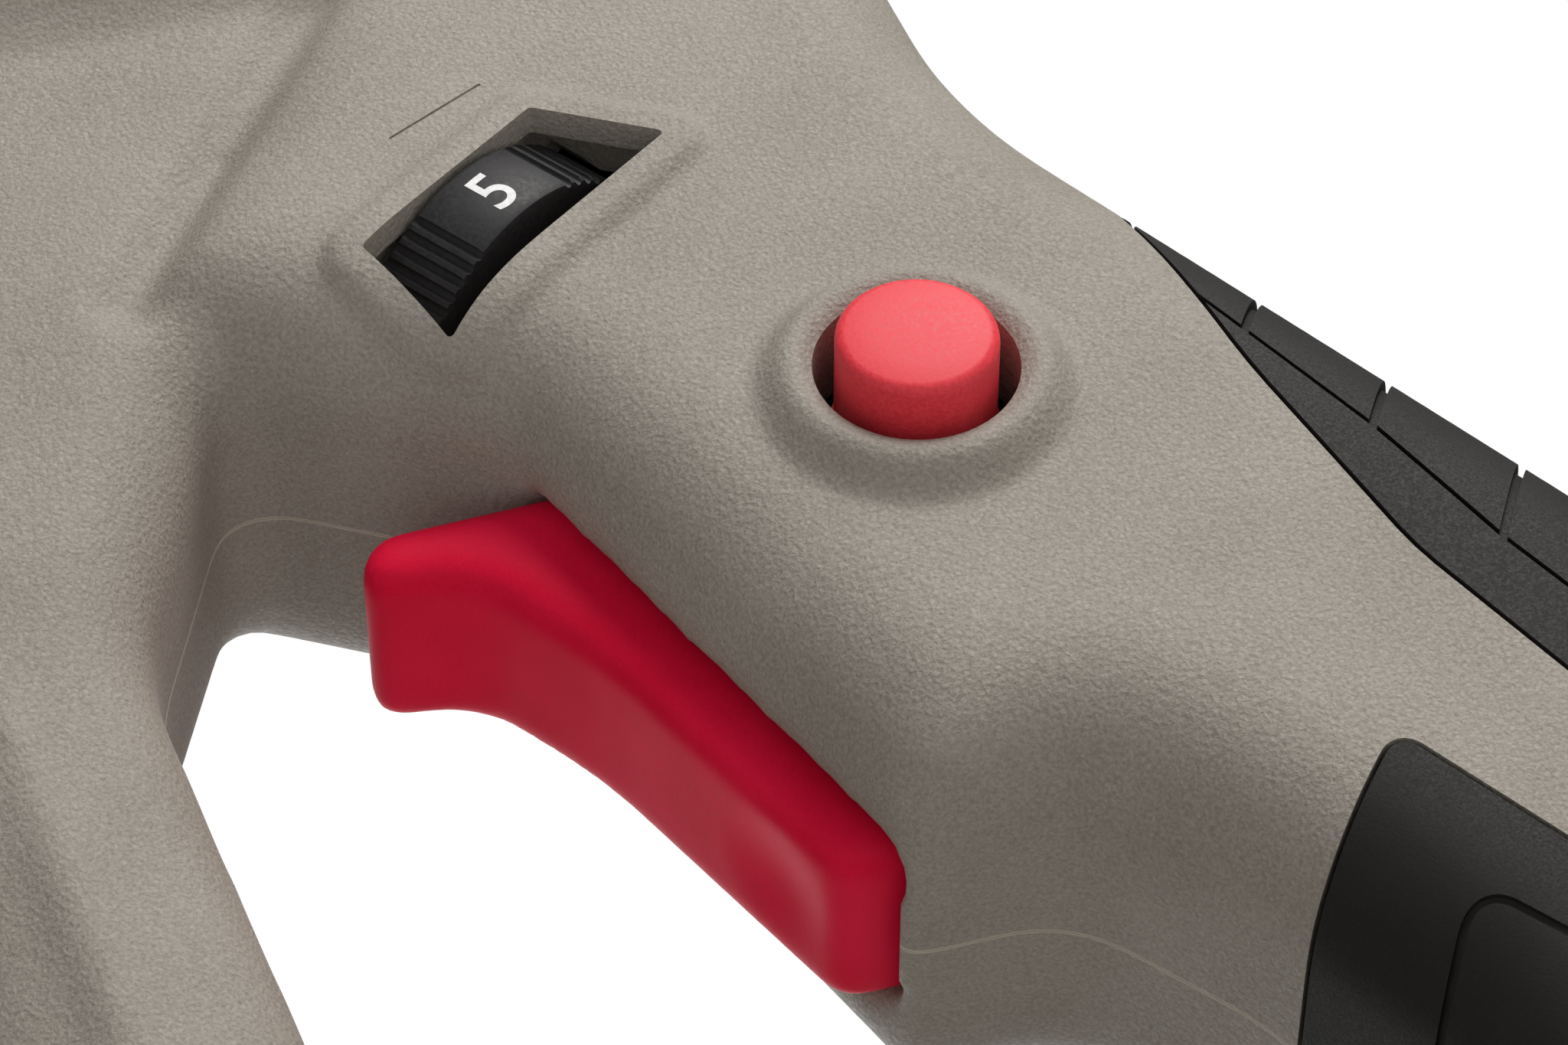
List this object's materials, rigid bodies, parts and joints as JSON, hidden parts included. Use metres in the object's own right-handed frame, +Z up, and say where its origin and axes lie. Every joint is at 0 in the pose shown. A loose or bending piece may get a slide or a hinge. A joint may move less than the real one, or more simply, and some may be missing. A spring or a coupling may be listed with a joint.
{
  "type": "glue gun",
  "caption": "Cordless hot-melt glue gun with a closed handle, red trigger and power button, a numbered heat dial, rubber grips, a brass nozzle and a slide-off battery foot.",
  "frame": {"origin": "centre line of the tool on the flat underside of the battery, below the handle", "axes": "+X towards the nozzle along the glue stick, +Y to the user's left, +Z up"},
  "size_m": [0.2543, 0.0752, 0.233],
  "materials": {
    "housing_grey": "fine spark-eroded grain, matt",
    "control_red": "smooth satin",
    "grip_rubber": "soft matt",
    "black_plastic": "satin",
    "dial_black": "satin with pale printed numerals",
    "steel": "plated",
    "brass": "turned",
    "aluminium": "cast",
    "ceramic": "matt",
    "silicone": "matt heat-resistant",
    "glue": "translucent waxy",
    "board_green": "solder mask",
    "cell_wrap": "shrink film",
    "lens": "clear tinted",
    "nylon": "natural"
  },
  "bodies": {
    "housing": {"housing_left": "housing_grey", "housing_right": "housing_grey", "back_strap": "grip_rubber", "side_pad_left": "grip_rubber", "side_pad_right": "grip_rubber", "housing_screw_tail": "steel", "housing_screw_top": "steel", "housing_screw_web": "steel", "housing_screw_neck": "steel", "housing_screw_guard": "steel", "housing_screw_heel": "steel", "housing_screw_toe": "steel", "housing_screw_back": "steel", "potentiometer": "steel", "control_board": "board_green", "switch_body": "black_plastic", "status_lens": "lens", "button_spring": "steel", "trigger_spring": "steel", "rocker_pin": "steel", "stick_guide": "black_plastic", "inlet_sleeve": "silicone", "melt_chamber": "aluminium", "heater_element": "ceramic", "heater_clip": "steel", "temperature_sensor": "ceramic", "heat_shield": "steel", "front_collar": "black_plastic", "nozzle": "brass", "nozzle_boot": "silicone", "terminal_block": "black_plastic"},
    "trigger": {"trigger": "control_red"},
    "rocker": {"feed_rocker": "steel"},
    "carriage": {"feed_carriage": "nylon", "clamp_jaw": "steel"},
    "stick": {"glue_stick": "glue"},
    "dial": {"dial": "dial_black"},
    "power_button": {"power_button": "control_red"},
    "battery": {"battery_case_upper": "black_plastic", "battery_case_lower": "black_plastic", "battery_board": "board_green", "cell_1": "cell_wrap", "cell_2": "cell_wrap", "cell_3": "cell_wrap", "cell_4": "cell_wrap", "cell_5": "cell_wrap", "battery_screw_back_left": "steel", "battery_screw_back_right": "steel", "battery_screw_front_left": "steel", "battery_screw_front_right": "steel", "latch_spring_left": "steel", "latch_spring_right": "steel"},
    "latch_left": {"latch_left": "control_red"},
    "latch_right": {"latch_right": "control_red"}
  },
  "joints": [
    {"name": "trigger_pull", "type": "slide", "parent": "housing", "child": "trigger", "axis": [-1, 0, 0], "range_m": [0, 0.008], "stiffness_N_per_m": 700, "springref_m": -0.003, "deforming": ["trigger_spring"]},
    {"name": "rocker_swing", "type": "hinge", "parent": "housing", "child": "rocker", "pos_m": [0.006, 0, 0.16], "axis": [0, 1, 0], "range_deg": [0, 16.5]},
    {"name": "carriage_feed", "type": "slide", "parent": "housing", "child": "carriage", "axis": [1, 0, 0], "range_m": [0, 0.0078]},
    {"name": "stick_feed", "type": "slide", "parent": "housing", "child": "stick", "axis": [1, 0, 0], "range_m": [-0.09, 0.018]},
    {"name": "dial_turn", "type": "hinge", "parent": "housing", "child": "dial", "pos_m": [0.02281, 0.0068, 0.15674], "axis": [0.5664, 0, 0.8241], "range_deg": [-288, 0]},
    {"name": "button_press", "type": "slide", "parent": "housing", "child": "power_button", "axis": [0, -1, 0], "range_m": [0, 0.0025], "stiffness_N_per_m": 400, "springref_m": -0.0015, "deforming": ["button_spring"]},
    {"name": "battery_slide", "type": "slide", "parent": "housing", "child": "battery", "axis": [1, 0, 0], "range_m": [0, 0.11]},
    {"name": "latch_left_press", "type": "slide", "parent": "battery", "child": "latch_left", "axis": [0, -1, 0], "range_m": [0, 0.0022], "stiffness_N_per_m": 500, "springref_m": -0.001, "deforming": ["latch_spring_left"]},
    {"name": "latch_right_press", "type": "slide", "parent": "battery", "child": "latch_right", "axis": [0, 1, 0], "range_m": [0, 0.0022], "stiffness_N_per_m": 500, "springref_m": -0.001, "deforming": ["latch_spring_right"]}
  ],
  "couplings": [
    {"joint": "rocker_swing", "follows": "trigger_pull", "rad_per_m": 34.483},
    {"joint": "carriage_feed", "follows": "trigger_pull", "ratio": 0.96552}
  ]
}
